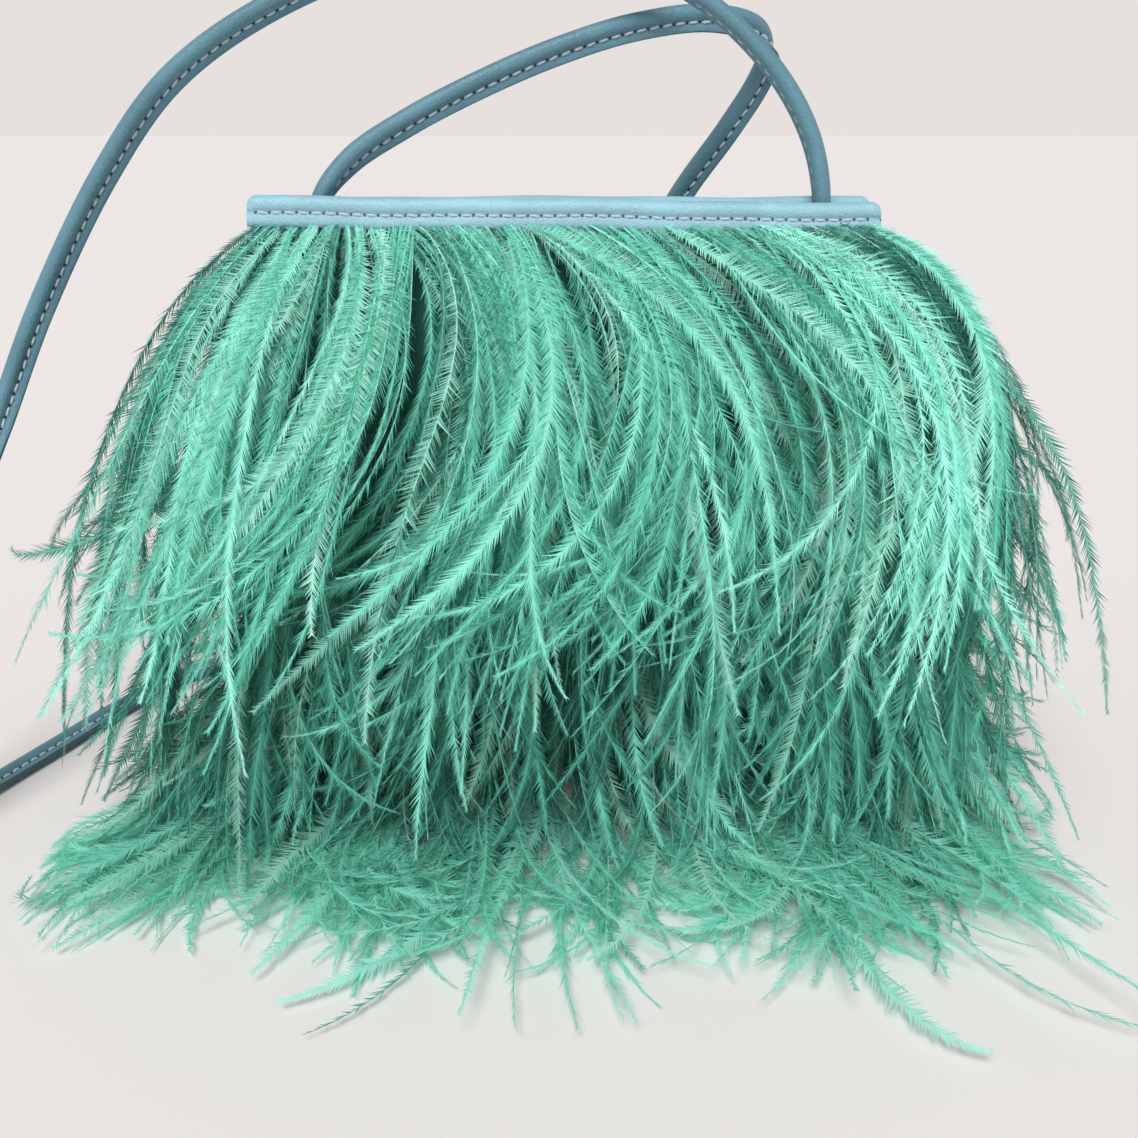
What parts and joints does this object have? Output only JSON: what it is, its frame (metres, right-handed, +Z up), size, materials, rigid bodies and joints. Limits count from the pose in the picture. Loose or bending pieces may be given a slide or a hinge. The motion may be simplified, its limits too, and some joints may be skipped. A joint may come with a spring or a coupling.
{
  "type": "feather crossbody bag",
  "caption": "Small flat crossbody bag covered in rows of hanging ostrich-feather fringe, with leather-bound rims, a magnetic mouth and one long piped leather strap.",
  "frame": {"origin": "middle of the base's flat underside, on the surface that the bag stands on", "axes": "+Z up, +X along the rims to the right as seen from the front, the front faces -Y"},
  "size_m": [0.3939, 0.2736, 0.2932],
  "materials": {
    "leather": "satin, fine soft grain",
    "strap_leather": "satin, fine soft grain",
    "feather": "soft, slightly glossy flues",
    "under_feather": "soft, slightly glossy flues",
    "trim_tape": "matt woven tape",
    "backing_felt": "matt felt",
    "lining_satin": "soft satin weave",
    "bonded_board": "matt fibre board",
    "filler_cord": "matt twisted cord",
    "magnet_steel": "nickel plated"
  },
  "bodies": {
    "root": {"back_facing": "leather", "back_feather_tape_1": "trim_tape", "back_feather_tape_2": "trim_tape", "back_feather_tape_3": "trim_tape", "back_feather_tape_4": "trim_tape", "back_feathers_1": "feather", "back_feathers_2": "under_feather", "back_feathers_3": "under_feather", "back_feathers_4": "under_feather", "back_lining": "lining_satin", "back_outer_panel": "backing_felt", "back_rim_binding": "leather", "back_rim_filler_cord": "filler_cord", "back_snap_cap": "leather", "back_snap_magnet": "magnet_steel", "back_stiffener": "bonded_board", "base_board": "bonded_board", "base_lining": "lining_satin", "base_panel": "leather", "front_feathers_4": "under_feather", "left_gusset_back": "backing_felt", "left_gusset_lining_back": "lining_satin", "left_strap_patch": "leather", "right_gusset_back": "backing_felt", "right_gusset_lining_back": "lining_satin", "right_strap_patch": "leather", "strap": "strap_leather"},
    "front_half": {"front_facing": "leather", "front_feather_tape_1": "trim_tape", "front_feather_tape_2": "trim_tape", "front_feather_tape_3": "trim_tape", "front_feather_tape_4": "trim_tape", "front_feathers_1": "feather", "front_feathers_2": "under_feather", "front_feathers_3": "under_feather", "front_lining": "lining_satin", "front_outer_panel": "backing_felt", "front_rim_binding": "leather", "front_rim_filler_cord": "filler_cord", "front_snap_cap": "leather", "front_snap_magnet": "magnet_steel", "front_stiffener": "bonded_board", "left_gusset_front": "backing_felt", "right_gusset_front": "backing_felt", "left_gusset_lining_front": "lining_satin", "right_gusset_lining_front": "lining_satin"}
  },
  "joints": [
    {"name": "mouth_opening", "type": "hinge", "parent": "root", "child": "front_half", "pos_m": [0, -0.0183, 0.005], "axis": [1, 0, 0], "range_deg": [0, 5]}
  ]
}
